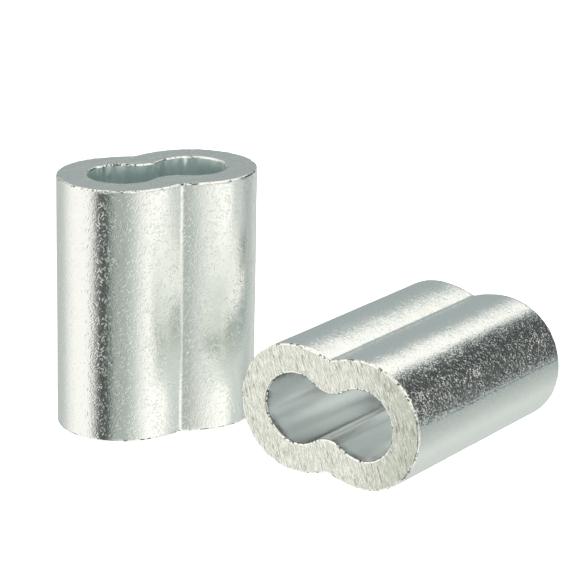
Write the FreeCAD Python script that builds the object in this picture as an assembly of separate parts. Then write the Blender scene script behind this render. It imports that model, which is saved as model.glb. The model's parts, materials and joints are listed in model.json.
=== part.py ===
"""A pair of aluminium hourglass ferrules for 6 mm wire rope.

Each ferrule is a short length sawn from an extruded figure-of-eight bar: two barrels side by
side, joined at a neck, with one passage that runs through both. One ferrule stands on a sawn
end and the other lies on its broad side. Millimetres, +Z up, the bench at z = 0, the origin on
the bench in the middle of the pair, and +Y along the passage of the lying ferrule.
"""
import FreeCAD, Part
import math
import os

# The extruded section: width along its own x axis, height along its own y axis.
BARREL_RADIUS = 5.5        # outside of each barrel, half of the section's height
BARREL_OFFSET = 3.3        # outside barrel centre from the middle of the section
SHOULDER_RADIUS = 8.5      # flatter arc from the crown of a barrel down to the valley
VALLEY_ROOT_RADIUS = 0.3   # inside corner at the bottom of the valley
BORE_RADIUS = 3.0          # each rope passage
BORE_OFFSET = 3.2          # passage centre from the middle of the section
NECK_RADIUS = 2.5          # rounded ridge between the two passages

# The sawn length, and how far tumbling has rounded its rims.
SLEEVE_LENGTH = 22.0
RIM_ROUND = 0.15

# How the pair is set out, from the middle of the lying ferrule's near end.
UPRIGHT_X = -20.5
UPRIGHT_Y = 3.4
UPRIGHT_TURN = 63.4        # degrees from +X to the upright section's width

X_AXIS = FreeCAD.Vector(1, 0, 0)
Z_AXIS = FreeCAD.Vector(0, 0, 1)
CENTRE = FreeCAD.Vector(0, 0, 0)
LENGTHWAYS = FreeCAD.Vector(0, 0, SLEEVE_LENGTH)


def arc(centre, radius, start, end):
    """Arc about centre from the start angle to the end angle, in radians, in the section plane."""
    low, high = min(start, end), max(start, end)
    return Part.ArcOfCircle(Part.Circle(centre, Z_AXIS, radius), low, high).toShape()


def closed_outline(quarter):
    """Closed wire from the quarter outline in the section's first quadrant, mirrored twice."""
    half = quarter + [edge.mirror(CENTRE, X_AXIS) for edge in quarter]
    whole = half + [edge.rotated(CENTRE, Z_AXIS, 180) for edge in half]
    return Part.Wire(Part.__sortEdges__(whole))


def outer_outline():
    """Outside of the bar: a round end, a flatter shoulder and a small root in the valley."""
    shoulder_y = BARREL_RADIUS - SHOULDER_RADIUS
    reach = SHOULDER_RADIUS + VALLEY_ROOT_RADIUS
    root_y = shoulder_y + math.sqrt(reach**2 - BARREL_OFFSET**2)
    meet = math.atan2(root_y - shoulder_y, -BARREL_OFFSET)
    barrel_centre = FreeCAD.Vector(BARREL_OFFSET, 0, 0)
    shoulder_centre = FreeCAD.Vector(BARREL_OFFSET, shoulder_y, 0)
    root_centre = FreeCAD.Vector(0, root_y, 0)
    return closed_outline([
        arc(barrel_centre, BARREL_RADIUS, 0, math.pi / 2),
        arc(shoulder_centre, SHOULDER_RADIUS, math.pi / 2, meet),
        arc(root_centre, VALLEY_ROOT_RADIUS, meet - math.pi, -math.pi / 2),
    ])


def bore_outline():
    """Inside of the bar: two round passages that run together over the rounded neck ridges."""
    ridge_y = math.sqrt((BORE_RADIUS + NECK_RADIUS)**2 - BORE_OFFSET**2)
    meet = math.atan2(ridge_y, -BORE_OFFSET)
    passage_centre = FreeCAD.Vector(BORE_OFFSET, 0, 0)
    ridge_centre = FreeCAD.Vector(0, ridge_y, 0)
    return closed_outline([
        arc(passage_centre, BORE_RADIUS, 0, meet),
        arc(ridge_centre, NECK_RADIUS, meet - math.pi, -math.pi / 2),
    ])


def sleeve():
    """One ferrule standing on its sawn end, with the middle of its section on the Z axis."""
    bar = Part.Face(outer_outline()).extrude(LENGTHWAYS)
    passage = Part.Face(bore_outline()).extrude(LENGTHWAYS)
    blank = bar.cut(passage)
    ends = [face for face in blank.Faces if abs(face.normalAt(0, 0).z) > 0.5]
    rims = [edge for face in ends for edge in face.Edges]
    return blank.makeFillet(RIM_ROUND, rims)


def upright_sleeve():
    """The ferrule that stands on a sawn end."""
    standing = sleeve().rotated(CENTRE, Z_AXIS, UPRIGHT_TURN)
    return standing.translated(FreeCAD.Vector(UPRIGHT_X, UPRIGHT_Y, 0))


def lying_sleeve():
    """The ferrule that lies on its broad side, with its passage along +Y."""
    laid = sleeve().rotated(CENTRE, X_AXIS, -90)
    return laid.translated(FreeCAD.Vector(0, 0, BARREL_RADIUS))


os.makedirs("parts", exist_ok=True)
pieces = {"upright_sleeve": upright_sleeve(), "lying_sleeve": lying_sleeve()}
box = Part.Compound(list(pieces.values())).optimalBoundingBox()
to_origin = FreeCAD.Vector(-box.Center.x, -box.Center.y, -box.ZMin)
for node, shape in pieces.items():
    shape.translated(to_origin).exportStep(f"parts/{node}.step")
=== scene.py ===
"""Looks of a pair of aluminium hourglass ferrules: one standing on a sawn end, one lying down.

Each ferrule is one closed mesh: tumbled skin, rounded rims, sawn ends and drawn bore. Metres,
in the frame of the CAD model. Shader patterns read the "local" attribute, which holds a point's
place in its own ferrule in millimetres: x along the section's width, z along the length.
The "unrolled" attribute holds the same place as millimetres round the section and along it.
"""

import json
import math
from collections import namedtuple

import bpy
import numpy as np
from mathutils import Matrix, Vector


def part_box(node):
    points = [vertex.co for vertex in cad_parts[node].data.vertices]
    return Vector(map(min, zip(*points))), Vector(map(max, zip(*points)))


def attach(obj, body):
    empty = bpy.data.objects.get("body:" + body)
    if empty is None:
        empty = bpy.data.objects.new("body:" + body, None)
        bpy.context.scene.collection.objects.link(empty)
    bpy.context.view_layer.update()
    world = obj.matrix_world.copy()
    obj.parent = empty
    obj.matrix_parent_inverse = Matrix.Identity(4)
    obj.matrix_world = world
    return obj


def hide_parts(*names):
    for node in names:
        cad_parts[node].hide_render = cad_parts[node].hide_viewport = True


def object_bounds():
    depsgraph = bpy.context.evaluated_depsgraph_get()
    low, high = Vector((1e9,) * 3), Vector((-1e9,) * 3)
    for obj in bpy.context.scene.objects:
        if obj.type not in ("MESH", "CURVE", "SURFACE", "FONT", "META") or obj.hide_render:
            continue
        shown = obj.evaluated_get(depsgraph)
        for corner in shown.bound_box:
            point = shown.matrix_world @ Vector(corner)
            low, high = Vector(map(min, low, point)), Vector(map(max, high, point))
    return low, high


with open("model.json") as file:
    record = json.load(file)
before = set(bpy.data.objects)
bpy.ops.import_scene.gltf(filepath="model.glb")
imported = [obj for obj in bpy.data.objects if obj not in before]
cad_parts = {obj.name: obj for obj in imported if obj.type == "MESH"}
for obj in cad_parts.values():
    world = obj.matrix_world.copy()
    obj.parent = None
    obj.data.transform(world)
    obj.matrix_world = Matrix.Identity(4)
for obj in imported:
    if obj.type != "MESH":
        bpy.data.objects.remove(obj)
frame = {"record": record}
cad_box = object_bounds()

MM = 0.001
MOUNTS = {mount["name"]: mount for mount in frame["record"]["mounts"]}

# Section sizes that the frame doesn't give. They are the CAD model's, apart from the valley's
# root: its 0.3 mm is rounded to 0.6 mm here, so that the valley shows as wide a line as a real one.
SHOULDER_RADIUS = 8.5 * MM
VALLEY_ROOT_RADIUS = 0.6 * MM
NECK_RADIUS = 2.5 * MM
RIM_ROUND = 0.15 * MM

# Mesh density of a ferrule: columns in each quarter of the section, rows across each surface.
CROWN_COLUMNS = 82
SHOULDER_COLUMNS = 36
ROOT_COLUMNS = 5
SKIN_ROWS = 106
BORE_ROWS = 26
END_ROWS = 28
RIM_STEPS = 3

# Layers of relief on the surfaces: height, size of the cells (one number, or one for each
# axis) and a shift that keeps two layers from lining up, all in millimetres.
Wave = namedtuple("Wave", "height cell shift")
SKIN_WAVES = [
    Wave(0.012, 2.6, 0.0),                  # slow waves
    Wave(0.004, 0.85, 9.0),                 # ripples
    Wave(0.0012, (0.3, 0.3, 30.0), 0.0),    # drawn lines
]
BORE_WAVES = [
    Wave(0.0003, (0.35, 0.35, 40.0), 0.0),  # drawn lines
    Wave(0.0015, (3.5, 3.5, 20.0), 0.0),    # slow waves
]
SAW_WAVES = [
    Wave(0.007, (0.3, 2.2, 1.0), 0.0),      # each tooth's ridge
    Wave(0.008, (0.8, 7.0, 1.0), 0.0),      # longer swells along the cut
]
SAW_BLADE_RADIUS = 80.0

# The rims' worn burrs wander coarsely and finely all round, and the fine wander grows by the
# torn wave's height where that wave is above a level.
BURR_COARSE = Wave(0.012, (0.55, 0.55, 0.5), 0.0)
BURR_FINE = Wave(0.008, (0.22, 0.22, 0.3), 5.0)
BURR_TORN = Wave(0.10, 1.5, 17.0)
TORN_ABOVE = 0.35

# Knocks in the skin: how many, and their least and greatest radius and depth in millimetres.
DENTS = 26
DENT_RADIUS = (0.35, 0.9)
DENT_DEPTH = (0.004, 0.012)

# The camera, as the pair is looked at: degrees, metres, and millimetres of lens.
VIEW_AZIMUTH = 35.5
VIEW_ELEVATION = 17.9
VIEW_ROLL = 1.17
VIEW_DISTANCE = 0.2319
VIEW_LENS = 166.4
VIEW_CLIP = (0.01, 10)
AIM_OFFSET = Vector((-4.0, 4.25, -0.4)) * MM

# The floor: half its side, and how far it lies under the ferrules, in metres.
FLOOR_HALF = 1.2
FLOOR_DROP = 0.03 * MM

# The order of a ferrule's material slots, which is also what a ring's zone says.
SKIN, SAWN, BORE, RIM = range(4)

# An arc of the section, with 1 or -1 for metal on the side of its centre or outside it; a
# ring of points round the section, with its share of end face; and where a ferrule lies.
Arc = namedtuple("Arc", "x y radius start end facing")
Ring = namedtuple("Ring", "place facing zone end_share")
Sleeve = namedtuple("Sleeve", "middle width_axis length_axis saw_angle seed")


# ---------------------------------------------------------------- section

def section_sizes():
    """Sizes of the section that both ferrules share, from the lying ferrule's box and mounts."""
    low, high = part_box("lying_sleeve")
    left = MOUNTS["lying_left_barrel"]
    right = MOUNTS["lying_right_barrel"]
    return {
        "barrel": (high.z - low.z) / 2,
        "offset": (high.x - low.x) / 2 - (high.z - low.z) / 2,
        "bore": left["dims"]["r_mm"] * MM,
        "bore_offset": (Vector(right["pos_m"]) - Vector(left["pos_m"])).length / 2,
        "length": high.y - low.y,
    }


def outer_arcs(size):
    """First quarter of the outside: barrel, flatter shoulder and the valley's small root."""
    shoulder_y = size["barrel"] - SHOULDER_RADIUS
    reach = SHOULDER_RADIUS + VALLEY_ROOT_RADIUS
    root_y = shoulder_y + math.sqrt(reach**2 - size["offset"]**2)
    meet = math.atan2(root_y - shoulder_y, -size["offset"])
    return [
        (Arc(size["offset"], 0, size["barrel"], 0, math.pi / 2, 1), CROWN_COLUMNS),
        (Arc(size["offset"], shoulder_y, SHOULDER_RADIUS, math.pi / 2, meet, 1), SHOULDER_COLUMNS),
        (Arc(0, root_y, VALLEY_ROOT_RADIUS, meet - math.pi, -math.pi / 2, -1), ROOT_COLUMNS),
    ]


def bore_arcs(size):
    """First quarter of the bore: round passage, in two stretches, and the neck's ridge."""
    ridge_y = math.sqrt((size["bore"] + NECK_RADIUS)**2 - size["bore_offset"]**2)
    meet = math.atan2(ridge_y, -size["bore_offset"])
    rest = size["bore"] * (meet - math.pi / 2)
    ridge = NECK_RADIUS * (meet - math.pi / 2)
    columns = SHOULDER_COLUMNS + ROOT_COLUMNS
    rest_columns = round(columns * rest / (rest + ridge))
    return [
        (Arc(size["bore_offset"], 0, size["bore"], 0, math.pi / 2, -1), CROWN_COLUMNS),
        (Arc(size["bore_offset"], 0, size["bore"], math.pi / 2, meet, -1), rest_columns),
        (Arc(0, ridge_y, NECK_RADIUS, meet - math.pi, -math.pi / 2, 1), columns - rest_columns),
    ]


def closed_outline(arcs):
    """Points and outward normals all round the section, from the arcs of its first quarter."""
    points, normals = [], []
    for arc, columns in arcs:
        angle = np.linspace(arc.start, arc.end, columns, endpoint=False)
        ray = np.stack([np.cos(angle), np.sin(angle)], 1)
        points.append(ray * arc.radius + (arc.x, arc.y))
        normals.append(ray * arc.facing)
    last = arcs[-1][0]
    points.append([[0.0, last.y + last.radius * math.sin(last.end)]])
    normals.append([[0.0, 1.0 if arcs[0][0].facing > 0 else -1.0]])
    points, normals = np.concatenate(points), np.concatenate(normals)

    def all_round(quarter):
        back = quarter[:0:-1]
        return np.concatenate([
            quarter[:-1], back * (-1, 1), -quarter[:-1], back * (1, -1)])

    return all_round(points), all_round(normals)


# ---------------------------------------------------------------- relief

class Lattice:
    """Smooth noise from -1 to 1 that is the same on each run."""
    SIDE = 64

    def __init__(self, seed):
        self.table = np.random.RandomState(seed).uniform(-1, 1, (self.SIDE,) * 3)

    def __call__(self, points, cell):
        scaled = points / np.asarray(cell)
        corner = np.floor(scaled).astype(int)
        part = scaled - corner
        part = part * part * (3 - 2 * part)
        total = np.zeros(len(points))
        for step in np.ndindex(2, 2, 2):
            index = (corner + step) % self.SIDE
            weight = np.where(step, part, 1 - part).prod(axis=1)
            total += weight * self.table[index[:, 0], index[:, 1], index[:, 2]]
        return total


def relief(at, noise, waves):
    """Millimetres that a surface stands proud at each point, in all its waves."""
    return sum(wave.height * noise(at + wave.shift, wave.cell) for wave in waves)


def dents(at, outline, length, seed):
    """Shallow knocks from tumbling against the other ferrules, at points of the outline."""
    draw = np.random.RandomState(seed)
    total = np.zeros(len(at))
    for _ in range(DENTS):
        centre = outline[draw.randint(len(outline))] * (1, 1, 0) + (0, 0, draw.uniform(0, length))
        radius = draw.uniform(*DENT_RADIUS)
        depth = draw.uniform(*DENT_DEPTH)
        away = np.linalg.norm(at - centre, axis=1) / radius
        total -= depth * np.exp(-away**2 * 2)
    return total


def saw_relief(at, noise, saw_angle):
    """Millimetres of ridge that the saw left across a sawn end, bent as its blade is round."""
    turn = math.radians(saw_angle)
    along = at[:, 0] * math.cos(turn) + at[:, 1] * math.sin(turn)
    bend = along**2 / (2 * SAW_BLADE_RADIUS)
    across = at[:, 1] * math.cos(turn) - at[:, 0] * math.sin(turn) + bend
    return relief(np.stack([across, along, at[:, 2]], 1), noise, SAW_WAVES)


def burr_relief(at, noise):
    """Millimetres that the rounded rims wander, where tumbling has worn their burrs down. The
    fine wander is higher where the burr is torn."""
    coarse = noise(at + BURR_COARSE.shift, BURR_COARSE.cell)
    fine = noise(at + BURR_FINE.shift, BURR_FINE.cell)
    torn = np.clip(noise(at + BURR_TORN.shift, BURR_TORN.cell) - TORN_ABOVE, 0, 1)
    return BURR_COARSE.height * coarse + BURR_FINE.height * fine + BURR_TORN.height * torn * fine


# ---------------------------------------------------------------- ferrule mesh

def rings_of(size):
    """Each ring of points, in order from the foot of the skin up, over the upper end, down the
    bore and back over the lower end. Places are in metres in the ferrule's own frame."""
    outer, outer_normal = closed_outline(outer_arcs(size))
    inner, inner_normal = closed_outline(bore_arcs(size))
    length = size["length"]
    rings = []

    def add(xy, z, normal, up, zone, end_share):
        place = np.column_stack([xy, np.full(len(xy), z)])
        facing = np.column_stack([normal, np.full(len(xy), up)])
        rings.append(Ring(place, facing, zone, end_share))

    def wall(xy, normal, heights, zone):
        for z in heights:
            add(xy, z, normal, 0.0, zone, 0.0)

    def rim(xy, normal, top, angles):
        for angle in angles:
            back = xy - normal * RIM_ROUND * (1 - math.cos(angle))
            rise = RIM_ROUND * (1 - math.sin(angle))
            z = length - rise if top else rise
            up = math.sin(angle) if top else -math.sin(angle)
            add(back, z, normal * math.cos(angle), up, RIM, math.sin(angle)**2)

    def end(top, shares):
        edge = outer - outer_normal * RIM_ROUND
        mouth = inner - inner_normal * RIM_ROUND
        for share in shares:
            xy = edge * (1 - share) + mouth * share
            add(xy, length if top else 0.0, xy * 0, 1.0 if top else -1.0, SAWN, 1.0)

    up = np.linspace(RIM_ROUND, length - RIM_ROUND, SKIN_ROWS)
    bore_up = np.linspace(RIM_ROUND, length - RIM_ROUND, BORE_ROWS)
    turn = np.linspace(0, math.pi / 2, RIM_STEPS + 2)[1:-1]
    shares = np.linspace(0, 1, END_ROWS)
    wall(outer, outer_normal, up, SKIN)
    rim(outer, outer_normal, True, turn)
    end(True, shares)
    rim(inner, inner_normal, True, turn[::-1])
    wall(inner, inner_normal, bore_up[::-1], BORE)
    rim(inner, inner_normal, False, turn)
    end(False, shares[::-1])
    rim(outer, outer_normal, False, turn[::-1])
    return rings


def relief_of(rings, length, sleeve):
    """Metres that each ring's points move along their normals. The rims of the bore's mouths
    take the bore's relief, and the outer rims take the skin's."""
    noise = Lattice(sleeve.seed)
    outline = rings[0].place / MM
    in_bore = [i for i, ring in enumerate(rings) if ring.zone == BORE]
    first_inside = in_bore[0] - RIM_STEPS
    last_inside = in_bore[-1] + RIM_STEPS
    moved = []
    for i, ring in enumerate(rings):
        at = ring.place / MM
        if first_inside <= i <= last_inside:
            side = relief(at, noise, BORE_WAVES)
        else:
            side = relief(at, noise, SKIN_WAVES) + dents(at, outline, length / MM, sleeve.seed)
        amount = side * (1 - ring.end_share)
        if ring.end_share > 0:
            amount = amount + saw_relief(at, noise, sleeve.saw_angle) * ring.end_share
        if ring.zone == RIM:
            amount = amount + burr_relief(at, noise)
        moved.append(amount * MM)
    return moved


def unrolled_corners(rings):
    """Millimetres round the section, from the crease below, and along it, at each quad corner."""
    flat = []
    for place in [ring.place for ring in rings]:
        step = np.linalg.norm(np.diff(place, axis=0, append=place[:1]), axis=1)
        crease = len(place) * 3 // 4
        round_to = np.concatenate([[0], np.cumsum(np.roll(step, -crease))])
        here = np.roll(round_to[:-1], crease)
        ahead = np.roll(round_to[1:], crease)
        flat.append(np.stack([here, ahead, place[:, 2]], 1) / MM)
    lower = np.stack(flat)
    upper = np.roll(lower, -1, axis=0)
    corners = [lower[..., [0, 2]], lower[..., [1, 2]], upper[..., [1, 2]], upper[..., [0, 2]]]
    corners = np.stack(corners, 2)
    return np.concatenate([corners, corners[..., :1] * 0], -1)


def quads_between(ring_count, columns):
    """Corners of the quads between each ring and the next one, closed both ways round."""
    ring, column = np.meshgrid(np.arange(ring_count), np.arange(columns), indexing="ij")
    next_ring = (ring + 1) % ring_count
    next_column = (column + 1) % columns
    return np.stack([
        ring * columns + column,
        ring * columns + next_column,
        next_ring * columns + next_column,
        next_ring * columns + column], -1).reshape(-1, 4)


def sleeve_mesh(name, sleeve, materials):
    """One ferrule as a closed mesh of quads, in its place in the frame."""
    size = section_sizes()
    rings = rings_of(size)
    moved = relief_of(rings, size["length"], sleeve)
    local = np.concatenate([
        ring.place + ring.facing * amount[:, None] for ring, amount in zip(rings, moved)])
    across = sleeve.length_axis.cross(sleeve.width_axis)
    axes = np.array([sleeve.width_axis, across, sleeve.length_axis])
    foot = np.array(sleeve.middle - sleeve.length_axis * size["length"] / 2)
    points = local @ axes + foot
    columns = len(rings[0].place)
    quads = quads_between(len(rings), columns)

    mesh = bpy.data.meshes.new(name)
    mesh.from_pydata(points.tolist(), [], quads.tolist())
    zone = np.array([ring.zone for ring in rings])
    pair = np.stack([zone, np.roll(zone, -1)])
    face_zone = np.where((pair == RIM).any(0), RIM, pair[0])
    mesh.polygons.foreach_set("material_index", np.repeat(face_zone, columns).astype(np.int32))
    mesh.polygons.foreach_set("use_smooth", np.ones(len(quads), bool))
    place = mesh.attributes.new("local", "FLOAT_VECTOR", "POINT")
    place.data.foreach_set("vector", (local / MM).astype(np.float32).ravel())
    unrolled = mesh.attributes.new("unrolled", "FLOAT_VECTOR", "CORNER")
    unrolled.data.foreach_set("vector", unrolled_corners(rings).astype(np.float32).ravel())
    for material in materials:
        mesh.materials.append(material)
    mesh.update()
    piece = bpy.data.objects.new(name, mesh)
    bpy.context.scene.collection.objects.link(piece)
    return piece


# ---------------------------------------------------------------- materials

class Graph:
    """Short calls for building a node tree."""

    def __init__(self, tree):
        self.tree = tree
        tree.nodes.clear()

    def node(self, kind, inputs=None, **settings):
        node = self.tree.nodes.new(kind)
        for key, value in settings.items():
            setattr(node, key, value)
        for key, value in (inputs or {}).items():
            self.put(node.inputs[key], value)
        return node

    def put(self, socket, value):
        if isinstance(value, bpy.types.NodeSocket):
            self.tree.links.new(value, socket)
        else:
            socket.default_value = value

    def math(self, operation, *values):
        node = self.node("ShaderNodeMath", operation=operation)
        for socket, value in zip(node.inputs, values):
            self.put(socket, value)
        return node.outputs[0]

    def ramp(self, value, low, high, to_low=0.0, to_high=1.0):
        """Smooth step of value from to_low, at low, to to_high, at high."""
        node = self.node("ShaderNodeMapRange", interpolation_type="SMOOTHSTEP")
        for key, number in zip(("Value", "From Min", "From Max", "To Min", "To Max"),
                               (value, low, high, to_low, to_high)):
            self.put(node.inputs[key], number)
        return node.outputs["Result"]

    def mix(self, share, first, second):
        """Colour between first, at share 0, and second, at share 1."""
        node = self.node("ShaderNodeMix", data_type="RGBA")
        for socket, value in zip((node.inputs[0], node.inputs[6], node.inputs[7]),
                                 (share, first, second)):
            self.put(socket, value)
        return node.outputs[2]

    def attribute(self, name, scale, turn):
        """Millimetres that a mesh attribute holds, turned about the third axis, then scaled."""
        place = self.node("ShaderNodeAttribute", attribute_name=name).outputs["Vector"]
        turned = self.node("ShaderNodeMapping", {
            "Vector": place, "Rotation": (0, 0, math.radians(turn))}).outputs[0]
        return self.vector("MULTIPLY", turned, scale)

    def local(self, scale=(1, 1, 1), turn=0.0):
        """Place in the ferrule, turned about its length and then scaled."""
        return self.attribute("local", scale, turn)

    def unrolled(self, scale=(1, 1, 1), turn=0.0):
        """Place on the unrolled skin, turned and then scaled."""
        return self.attribute("unrolled", scale, turn)

    def vector(self, operation, *values):
        node = self.node("ShaderNodeVectorMath", operation=operation)
        sockets = list(node.inputs[:3])
        if operation == "SCALE":
            sockets = [node.inputs["Vector"], node.inputs["Scale"]]
        for socket, value in zip(sockets, values):
            self.put(socket, value)
        return node.outputs["Vector"]

    def marks(self, kind):
        """1 on the middle and 0 off each of one kind of short marks scattered over the skin."""
        place = self.unrolled((1 / kind.spacing[0], 1 / kind.spacing[1], 1), kind.turn)
        cell = self.node("ShaderNodeTexVoronoi", {"Vector": place, "Scale": 1.0},
                         voronoi_dimensions="2D")
        chosen = self.math("LESS_THAN", cell.outputs["Color"], kind.share)
        mark = self.ramp(cell.outputs["Distance"], 0.0, kind.reach, 1.0, 0.0)
        return self.math("MULTIPLY", chosen, mark)

    def facets(self, place, steepest):
        """Tilt of each small facet of a peened skin: most lie nearly flat, a few are steep."""
        cell = self.node("ShaderNodeTexVoronoi", {"Vector": place, "Scale": 1.0})
        tilt = self.vector("MULTIPLY_ADD", cell.outputs["Color"], (2, 2, 2), (-1, -1, -1))
        cubed = self.vector("MULTIPLY", self.vector("MULTIPLY", tilt, tilt), tilt)
        return self.vector("SCALE", cubed, steepest)

    def noise(self, place, scale, detail=2.0, roughness=0.5):
        return self.node("ShaderNodeTexNoise", {
            "Vector": place, "Scale": scale, "Detail": detail,
            "Roughness": roughness}).outputs["Fac"]

    def bump(self, height_mm, tilt=None):
        """Normal from a height in millimetres, and from a tilt of the surface under it."""
        inputs = {"Height": height_mm, "Strength": 1.0, "Distance": MM}
        if tilt is not None:
            straight = self.node("ShaderNodeNewGeometry").outputs["Normal"]
            inputs["Normal"] = self.vector("NORMALIZE", self.vector("ADD", straight, tilt))
        return self.node("ShaderNodeBump", inputs).outputs[0]

    def sum(self, *values):
        total = values[0]
        for value in values[1:]:
            total = self.math("ADD", total, value)
        return total


def metal(name, build):
    """Material whose colour, roughness and normal build(graph) returns."""
    material = bpy.data.materials.new(name)
    material.use_nodes = True
    graph = Graph(material.node_tree)
    colour, roughness, normal = build(graph)
    shader = graph.node("ShaderNodeBsdfPrincipled", {
        "Base Color": colour, "Metallic": 1.0, "Roughness": roughness, "Normal": normal})
    output = graph.node("ShaderNodeOutputMaterial")
    graph.tree.links.new(shader.outputs[0], output.inputs[0])
    return material


# Short marks of tumbling on the skin: their turn in degrees, their spacing along and across
# themselves in millimetres, their reach and the share of places with one.
Marks = namedtuple("Marks", "turn spacing reach share")
SCRATCHES = [
    Marks(35.0, (1.2, 0.24), 0.27, 0.42),
    Marks(-28.0, (1.1, 0.22), 0.27, 0.42),
    Marks(80.0, (0.9, 0.22), 0.27, 0.35),
    Marks(-65.0, (1.0, 0.24), 0.27, 0.42),
    Marks(0.0, (0.28, 0.28), 0.28, 0.35),
]
NICKS = [
    Marks(40.0, (1.0, 0.5), 0.30, 0.14),
    Marks(-35.0, (0.9, 0.45), 0.30, 0.14),
]

# Facets of peened skin: cells for each millimetre along each axis, turn in degrees and tilt.
ROUND_FACETS = 10.0
ROUND_FACET_TILT = 0.46
LONG_FACETS = [((5.0, 11.0, 1.0), 35.0), ((5.4, 11.0, 1.0), -50.0)]
LONG_FACET_TILT = 0.28

# Depths and heights of the skin's finest detail, in millimetres.
GRAIN_HEIGHT = 0.012
SCRATCH_DEPTH = 0.011
NICK_DEPTH = 0.012
BAND_LINE_DEPTH = 0.005
BAND_LINE_HALF_WIDTH = 0.12
SOFT_HEIGHT = 0.005
DRAWN_HEIGHT = 0.002

# Share of peening outside the band, and of the scratches that are left there.
PEENED_OUTSIDE = 0.09
SCRATCHED_OUTSIDE = 0.35

SKIN_COLOURS = ((0.91, 0.93, 0.905, 1), (0.95, 0.965, 0.94, 1))
TORN_SAW_COLOUR = (0.25, 0.22, 0.17, 1)
# Rim colours: one paler than the skin, which paints in part of the rims' highlight, and a dark one
# that is painted shade of small burrs.
RIM_COLOUR_AND_HIGHLIGHT = (1.0, 1.0, 0.97, 1)
RIM_PAINTED_SHADE_COLOUR = (0.12, 0.12, 0.11, 1)


def peened_band(graph, depth, band):
    """Share of peening, from 0 outside a band of depths in the section to 1 in it, and the
    faint line that ends the band. The band's edges wander, and the line shows in places."""
    wander = graph.math("MULTIPLY_ADD", graph.noise(graph.local(), 0.6, 2.0), 0.9, -0.45)
    edge = graph.math("ADD", depth, wander)
    inside = graph.math(
        "MULTIPLY",
        graph.ramp(edge, band[0] - 0.5, band[0] + 0.6),
        graph.ramp(edge, band[1] - 0.35, band[1] + 0.15, 1.0, 0.0))
    off_line = graph.math("ABSOLUTE", graph.math("SUBTRACT", depth, band[1]))
    line = graph.math(
        "MULTIPLY",
        graph.ramp(off_line, 0.0, BAND_LINE_HALF_WIDTH, 1.0, 0.0),
        graph.ramp(wander, -0.15, 0.10))
    return inside, line


def facet_tilts(graph):
    """Random tilts of the small facets that peening leaves: round ones and two long kinds."""
    first, second = [
        graph.facets(graph.unrolled(scale, turn), LONG_FACET_TILT) for scale, turn in LONG_FACETS]
    round_ones = graph.facets(graph.local((ROUND_FACETS,) * 3), ROUND_FACET_TILT)
    return graph.vector("ADD", round_ones, graph.vector("ADD", first, second))


def tumbled(dullness, marked, peened, band):
    """Build function of a bright skin, as rough as its dullness, marked all over by tumbling
    and peened in a band of depths in the section, in millimetres, that ends at a faint line."""
    def build(graph):
        place = graph.local()
        grain = graph.noise(place, 6.0, 2.0, 0.65)
        soft = graph.noise(place, 1.1, 1.0)
        drawn_lines = graph.noise(graph.local((1, 1, 0.02)), 4.0, 2.0)
        worn = graph.ramp(graph.noise(place, 0.8, 2.0), 0.38, 0.6, 0.7, 1.0)
        depth = graph.node("ShaderNodeSeparateXYZ", {0: place}).outputs[1]
        inside, line = peened_band(graph, depth, band)
        scratches = graph.math("MINIMUM", graph.sum(*map(graph.marks, SCRATCHES)), 1.0)
        scratches = graph.math("MULTIPLY", scratches, worn)
        left = graph.ramp(inside, 0.0, 1.0, SCRATCHED_OUTSIDE, 1.0)
        scratches = graph.math("MULTIPLY", scratches, left)
        nicks = graph.sum(*map(graph.marks, NICKS))
        share = graph.math("MULTIPLY", worn, graph.ramp(inside, 0.0, 1.0, PEENED_OUTSIDE, peened))
        tilts = graph.vector("SCALE", facet_tilts(graph), share)
        height = graph.sum(
            graph.math("MULTIPLY", grain, GRAIN_HEIGHT * marked),
            graph.math("MULTIPLY", scratches, -SCRATCH_DEPTH * marked),
            graph.math("MULTIPLY", nicks, -NICK_DEPTH * marked),
            graph.math("MULTIPLY", graph.math("MULTIPLY", line, worn), -BAND_LINE_DEPTH),
            graph.math("MULTIPLY", soft, SOFT_HEIGHT),
            graph.math("MULTIPLY", drawn_lines, DRAWN_HEIGHT))
        colour = graph.mix(soft, *SKIN_COLOURS)
        roughness = graph.ramp(grain, 0.3, 0.7, dullness - 0.025, dullness + 0.025)
        return colour, roughness, graph.bump(height, tilts)
    return build


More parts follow.
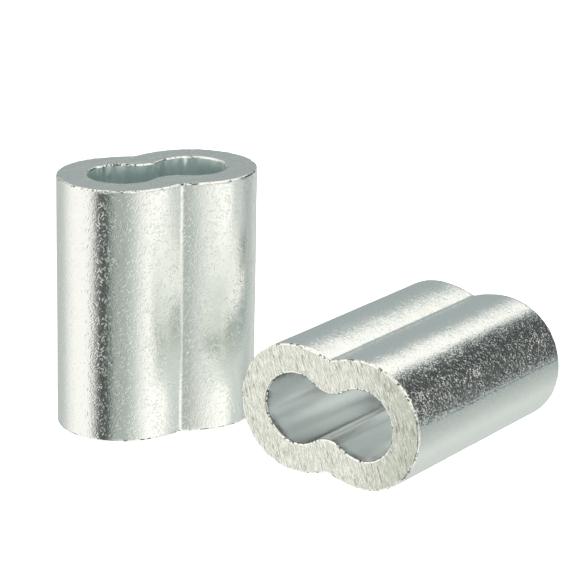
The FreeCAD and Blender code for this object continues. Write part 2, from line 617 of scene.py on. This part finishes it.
def sawn(angle, pale_and_glint, dark, coarse):
    """Build function of a sawn end: fine parallel saw marks, at an angle to the width, whose pale
    colour, where it is white, paints in their glints, and a colour that darkens towards the right
    barrel."""
    def build(graph):
        fine = graph.noise(graph.local((0.10, 1.0, 1.0), -angle), 12.0, 2.0, 0.6)
        chips = graph.noise(graph.local((0.40, 1.0, 1.0), -angle - 8), 10.0, 1.0, 0.6)
        wide = graph.noise(graph.local((0.07, 1.0, 1.0), -angle), 3.0, 2.0)
        torn = graph.noise(graph.local((0.12, 1.0, 1.0), -angle - 6), 7.0, 2.0, 0.7)
        patch = graph.noise(graph.local(), 0.45, 1.0)
        width = graph.node("ShaderNodeSeparateXYZ", {0: graph.local()}).outputs[0]
        # The colour darkens towards the right barrel.
        darker_to_right = graph.ramp(width, 2.0, 8.0, 0.0, 0.42 * coarse)
        shade = graph.sum(
            graph.math("MULTIPLY", graph.ramp(fine, 0.41, 0.59), 0.62),
            graph.math("MULTIPLY", graph.ramp(chips, 0.36, 0.60), 0.28),
            graph.math("MULTIPLY", wide, 0.12))
        # Colour of the saw marks: where the pale colour is white it paints in glints, and the
        # colour darkens towards the right barrel.
        colour = graph.mix(graph.math("SUBTRACT", shade, darker_to_right), dark, pale_and_glint)
        tear = graph.math("MULTIPLY", graph.ramp(torn, 0.58, 0.63), graph.ramp(patch, 0.38, 0.62))
        stain = graph.math("MULTIPLY", tear, 0.65 * coarse)
        colour = graph.mix(stain, colour, TORN_SAW_COLOUR)
        height = graph.sum(
            graph.math("MULTIPLY", fine, 0.020 * coarse),
            graph.math("MULTIPLY", chips, 0.014 * coarse),
            graph.math("MULTIPLY", wide, 0.02 * coarse),
            graph.math("MULTIPLY", tear, -0.012 * coarse))
        roughness = graph.ramp(fine, 0.3, 0.7, 0.34, 0.24)
        return colour, roughness, graph.bump(height)
    return build


def drawn(dullness, first, second):
    """Build function of a bore, as rough as its dullness, with smooth lines drawn along it in
    shades between two colours."""
    def build(graph):
        lines = graph.noise(graph.local((1, 1, 0.02)), 2.2, 3.0, 0.6)
        cloud = graph.noise(graph.local(), 0.7, 1.0)
        colour = graph.mix(graph.ramp(lines, 0.35, 0.65), first, second)
        height = graph.sum(
            graph.math("MULTIPLY", lines, 0.0001),
            graph.math("MULTIPLY", cloud, 0.001))
        roughness = graph.ramp(lines, 0.3, 0.7, dullness - 0.02, dullness + 0.02)
        return colour, roughness, graph.bump(height)
    return build


def rim_with_painted_light(graph):
    """Bright rim, burnished where the burr was worn away, in a colour paler than the skin that
    paints in part of its highlight, with a few dark bits of painted shade where small burrs shade
    it.
    """
    grit = graph.noise(graph.local(), 4.5, 3.0, 0.7)
    torn = graph.ramp(graph.noise(graph.local(), 1.1, 2.0), 0.46, 0.55)
    # Dark bits of painted shade, where small burrs shade the rim.
    dark = graph.math("MULTIPLY", graph.ramp(grit, 0.49, 0.55), torn)
    colour = graph.mix(dark, RIM_COLOUR_AND_HIGHLIGHT, RIM_PAINTED_SHADE_COLOUR)
    height = graph.math("MULTIPLY", grit, 0.014)
    return colour, graph.ramp(grit, 0.3, 0.7, 0.12, 0.22), graph.bump(height)


# ---------------------------------------------------------------- studio

# Soft panels of light and dark round the pair. Left and right are degrees to the right of the
# camera's own azimuth, seen from above, and low and high are degrees of elevation. Each edge
# has its own fade, outwards, and later panels lie over earlier ones.
Panel = namedtuple(
    "Panel", "left right fade_left fade_right low high fade_low fade_high light tint")
WARM = (1.01, 1.0, 0.945)
PLAIN = (0.94, 1.0, 0.955)
COOL = (0.88, 1.0, 1.00)
BENCH = (0.89, 1.0, 0.925)
EVERY_WAY = (-181, 181, 0.01, 0.01)
ROOM_LIGHT = 0.42
PANELS = [
    Panel(-20, 40, 10, 40, -80, 10, 1, 10, 0.43, BENCH),     # bench in front
    Panel(96, 150, 30, 30, -80, -24, 1, 15, 0.56, PLAIN),    # bench to the right
    Panel(*EVERY_WAY, -90, -40, 1, 20, 0.78, PLAIN),         # light thrown up by the bench
    Panel(144, 164, 20, 10, -44, -2, 10, 8, 0.68, PLAIN),    # backdrop, right
    Panel(196, 222, 10, 20, -44, -2, 10, 8, 0.56, PLAIN),    # backdrop, left
    Panel(*EVERY_WAY, 62, 91, 12, 1, 0.92, WARM),            # overhead softbox
    Panel(-86, -46, 56, 12, -80, 16, 10, 14, 1.02, WARM),    # left softbox
    Panel(-34, -24, 24, 16, -80, -11, 12, 5, 0.065, PLAIN),  # dark gap left of the camera
    Panel(60, 100, 54, 6, -80, 16, 12, 14, 1.15, WARM),      # right softbox
    Panel(84, 98, 12, 10, -80, -4, 12, 14, 0.66, PLAIN),     # spill beside the right softbox
    Panel(-92, 102, 30, 8, 14, 60, 14, 12, 1.06, WARM),      # softbox above the camera
    Panel(-26, -8, 16, 16, 27, 56, 12, 12, 0.45, PLAIN),     # gap in the softbox above the camera
    Panel(42, 90, 12, 8, -6, 8, 7, 6, 0.60, PLAIN),          # gap between the two softboxes
    Panel(*EVERY_WAY, 76, 91, 10, 1, 0.72, PLAIN),           # ceiling over the overhead softbox
    Panel(-140, -112, 16, 14, 20, 46, 10, 10, 0.45, PLAIN),  # gap behind the left softbox
    Panel(103, 135, 7, 8, -5, 20, 4, 6, 0.09, COOL),         # dark room to the right
    Panel(112, 137, 8, 8, 16, 39, 8, 5, 0.07, COOL),         # the same, higher up
    Panel(100, 150, 8, 12, 45, 66, 4, 10, 0.95, WARM),       # softbox above the dark room
    Panel(150, 215, 10, 11, 33, 66, 8, 8, 1.08, WARM),       # softbox behind and above
]


def studio_world():
    """World that lights the pair as soft panels would, and is plain white to the camera."""
    world = bpy.data.worlds.new("studio")
    world.use_nodes = True
    graph = Graph(world.node_tree)
    ray = graph.node("ShaderNodeTexCoord").outputs["Generated"]
    x, y, z = graph.node("ShaderNodeSeparateXYZ", {0: ray}).outputs
    towards = graph.math("MULTIPLY", y, -1)
    azimuth = graph.math("DEGREES", graph.math("ARCTAN2", x, towards))
    elevation = graph.math("DEGREES", graph.math("ARCSINE", z))
    colour = tuple(ROOM_LIGHT * share for share in COOL) + (1,)
    for panel in PANELS:
        centre = (panel.left + panel.right) / 2
        half = (panel.right - panel.left) / 2
        off_centre = graph.math("SUBTRACT", azimuth, VIEW_AZIMUTH + centre)
        turned = graph.math("WRAP", off_centre, 180, -180)
        across = graph.math(
            "MULTIPLY",
            graph.ramp(turned, -half - panel.fade_left, -half),
            graph.ramp(turned, half, half + panel.fade_right, 1.0, 0.0))
        upright = graph.math(
            "MULTIPLY",
            graph.ramp(elevation, panel.low - panel.fade_low, panel.low),
            graph.ramp(elevation, panel.high, panel.high + panel.fade_high, 1.0, 0.0))
        light = tuple(panel.light * share for share in panel.tint) + (1,)
        colour = graph.mix(graph.math("MULTIPLY", across, upright), colour, light)
    seen = graph.node("ShaderNodeLightPath").outputs["Is Camera Ray"]
    shown = graph.mix(seen, colour, (1, 1, 1, 1))
    background = graph.node("ShaderNodeBackground", {"Color": shown})
    output = graph.node("ShaderNodeOutputWorld")
    graph.tree.links.new(background.outputs[0], output.inputs[0])
    bpy.context.scene.world = world


def pale_floor():
    """Plain white bench, left out of the metal's reflections so that the panels shape them."""
    signs = ((-1, -1), (1, -1), (1, 1), (-1, 1))
    corners = [(FLOOR_HALF * x, FLOOR_HALF * y, -FLOOR_DROP) for x, y in signs]
    mesh = bpy.data.meshes.new("floor")
    mesh.from_pydata(corners, [], [(0, 1, 2, 3)])
    material = bpy.data.materials.new("floor_white")
    material.use_nodes = True
    graph = Graph(material.node_tree)
    shader = graph.node("ShaderNodeBsdfPrincipled", {
        "Base Color": (0.80, 0.80, 0.80, 1), "Roughness": 0.9, "Specular IOR Level": 0.0,
        "Emission Color": (1, 1, 1, 1), "Emission Strength": 0.8})
    output = graph.node("ShaderNodeOutputMaterial")
    graph.tree.links.new(shader.outputs[0], output.inputs[0])
    mesh.materials.append(material)
    floor = bpy.data.objects.new("floor", mesh)
    floor.visible_glossy = False
    bpy.context.scene.collection.objects.link(floor)


def aim_camera():
    """Camera at the side that the pair is looked at from."""
    azimuth = math.radians(VIEW_AZIMUTH)
    elevation = math.radians(VIEW_ELEVATION)
    back = Vector((
        math.sin(azimuth) * math.cos(elevation),
        -math.cos(azimuth) * math.cos(elevation),
        math.sin(elevation)))
    low, high = cad_box
    aim = (low + high) / 2 + AIM_OFFSET
    camera = bpy.data.objects.new("camera", bpy.data.cameras.new("camera"))
    camera.data.lens = VIEW_LENS
    camera.data.clip_start, camera.data.clip_end = VIEW_CLIP
    camera.location = aim + back * VIEW_DISTANCE
    camera.rotation_mode = "QUATERNION"
    level = (-back).to_track_quat("-Z", "Y").to_matrix()
    rolled = level @ Matrix.Rotation(math.radians(VIEW_ROLL), 3, "Z")
    camera.rotation_quaternion = rolled.to_quaternion()
    bpy.context.scene.collection.objects.link(camera)
    bpy.context.scene.camera = camera


# ---------------------------------------------------------------- build

# The finish of each ferrule: build functions of its skin, its sawn ends and its bore, the
# angle of its saw marks to its width, in degrees, and the seed of its relief.
Finish = namedtuple("Finish", "skin ends bore saw_angle seed")
UPRIGHT_SAW_ANGLE = 12.0
LYING_SAW_ANGLE = 66.0

# Depths in the section between which each skin is peened, in millimetres. The upright one is
# peened all over, but lightly. The lying one's depth axis points down, so its band is high up.
ALL_DEPTHS = (-20.0, 20.0)
UPPER_FLANK = (-4.7, -1.0)
FINISHES = {
    "upright": Finish(
        tumbled(0.19, 1.05, 0.06, ALL_DEPTHS),
        sawn(UPRIGHT_SAW_ANGLE, (0.73, 0.765, 0.755, 1), (0.64, 0.675, 0.665, 1), 0.3),
        # Both bores are one drawn tube. The upright one's colours are darker and bluer than the
        # lying one's: painted shade inside the standing bore.
        drawn(0.40, (0.76, 0.89, 0.88, 1), (0.85, 0.93, 0.925, 1)),
        UPRIGHT_SAW_ANGLE, 3),
    "lying": Finish(
        tumbled(0.155, 0.7, 0.25, UPPER_FLANK),
        # The lying end's pale colour is white: a painted glint on its saw marks.
        sawn(LYING_SAW_ANGLE, (1.0, 1.0, 0.965, 1), (0.53, 0.57, 0.495, 1), 1.0),
        drawn(0.25, (0.97, 0.99, 0.985, 1), (0.975, 0.995, 0.99, 1)),
        LYING_SAW_ANGLE, 4),
}


def place_of(side, finish):
    """Where a ferrule is and how it lies, from its two barrel mounts, with its finish."""
    left = Vector(MOUNTS[f"{side}_left_barrel"]["pos_m"])
    right = Vector(MOUNTS[f"{side}_right_barrel"]["pos_m"])
    length_axis = Vector(MOUNTS[f"{side}_left_barrel"]["axis"])
    width_axis = (right - left).normalized()
    return Sleeve((left + right) / 2, width_axis, length_axis, finish.saw_angle, finish.seed)


rims = metal("rim_with_painted_light", rim_with_painted_light)
for side, finish in FINISHES.items():
    skin = metal(f"tumbled_skin_{side}", finish.skin)
    ends = metal(f"sawn_end_{side}", finish.ends)
    bore = metal(f"drawn_bore_{side}", finish.bore)
    piece = sleeve_mesh(f"{side}_ferrule", place_of(side, finish), [skin, ends, bore, rims])
    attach(piece, side)
    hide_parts(f"{side}_sleeve")

pale_floor()
studio_world()
aim_camera()
bpy.context.scene.view_settings.view_transform = "Standard"
